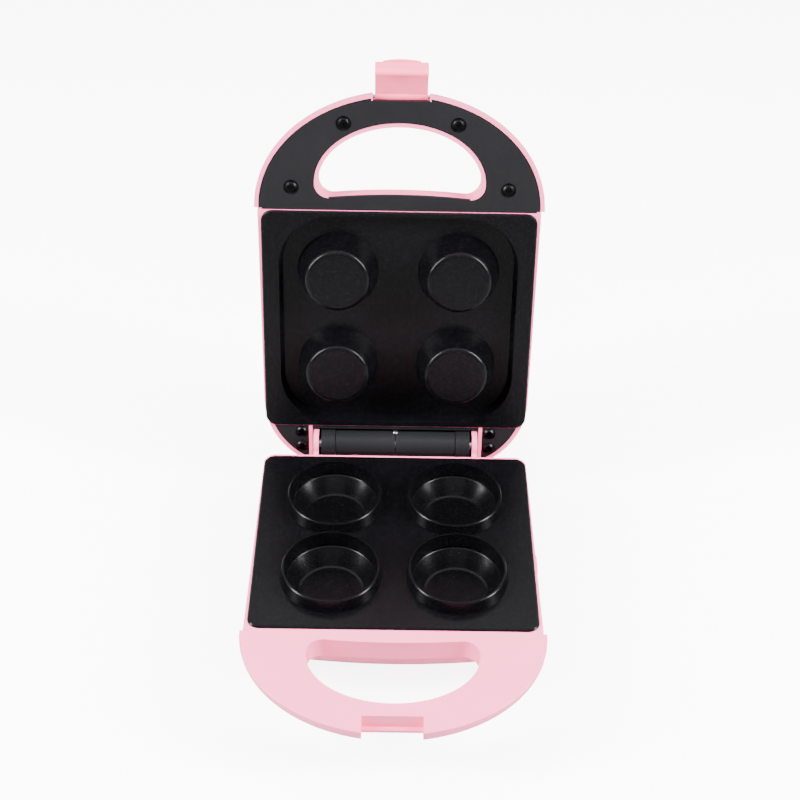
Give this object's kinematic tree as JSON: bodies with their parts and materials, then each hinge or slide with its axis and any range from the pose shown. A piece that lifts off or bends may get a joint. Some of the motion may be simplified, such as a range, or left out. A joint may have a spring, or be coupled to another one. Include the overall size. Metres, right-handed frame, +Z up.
{
  "type": "cup tart maker",
  "caption": "Electric tart and cupcake maker: two hinged halves with cupped plates, half-round handles with finger openings, a pivoting latch and a plate release button.",
  "frame": {"origin": "on the table, midway between the four feet, which is within 1 mm of the middle of the open appliance's footprint", "axes": "+Z up, +X to the user's right, handles towards -Y, hinge axis along X; the lid is open"},
  "size_m": [0.136, 0.2301, 0.2259],
  "materials": {
    "pink_housing": "moulded, soft sheen",
    "pink_latch": "moulded, satin",
    "black_cover": "fine spark texture",
    "nonstick": "black speckled non-stick coating on cast aluminium",
    "black_steel": "blackened screws",
    "steel": "plain steel",
    "element": "annealed sheath",
    "pan": "bright sheet",
    "ceramic": "white ceramic and phenolic",
    "foot_rubber": "dark rubber",
    "gland_black": "flexible",
    "red_lens": "translucent red",
    "green_lens": "translucent green",
    "lamp_glass": "clear neon lamps"
  },
  "bodies": {
    "base": {"base_frame": "pink_housing", "base_shell": "pink_housing", "lower_plate": "nonstick", "lower_heater": "element", "lower_reflector": "pan", "lower_plate_clips": "steel", "thermostat": "ceramic", "terminal_block": "ceramic", "release_spring": "steel", "rubber_feet": "foot_rubber", "base_screws": "black_steel", "cord_gland": "gland_black", "hinge_pin": "steel"},
    "lid": {"lid_shell": "pink_housing", "lid_handle_cover": "black_cover", "hinge_covers": "black_cover", "hinge_trough": "black_cover", "hinge_barrel_left": "black_cover", "hinge_barrel_right": "black_cover", "barrel_bushes": "black_cover", "barrel_rivet": "steel", "upper_plate": "nonstick", "upper_heater": "element", "upper_reflector": "pan", "upper_plate_clips": "steel", "thermal_fuse": "ceramic", "power_lens": "red_lens", "ready_lens": "green_lens", "indicator_lamps": "lamp_glass", "handle_cover_screws": "black_steel", "hinge_cover_screws": "black_steel", "latch_pin": "steel"},
    "latch": {"latch": "pink_latch"},
    "release_button": {"release_button": "pink_housing"}
  },
  "joints": [
    {"name": "lid_hinge", "type": "hinge", "parent": "base", "child": "lid", "pos_m": [0, 0.065, 0.036], "axis": [1, 0, 0], "range_deg": [0, 102.2]},
    {"name": "latch_pivot", "type": "hinge", "parent": "lid", "child": "latch", "pos_m": [0, 0.10773, 0.20806], "axis": [1, 0, 0], "range_deg": [-20, 70]},
    {"name": "plate_release", "type": "slide", "parent": "base", "child": "release_button", "axis": [-1, 0, 0], "range_m": [0, 0.002], "stiffness_N_per_m": 200}
  ]
}
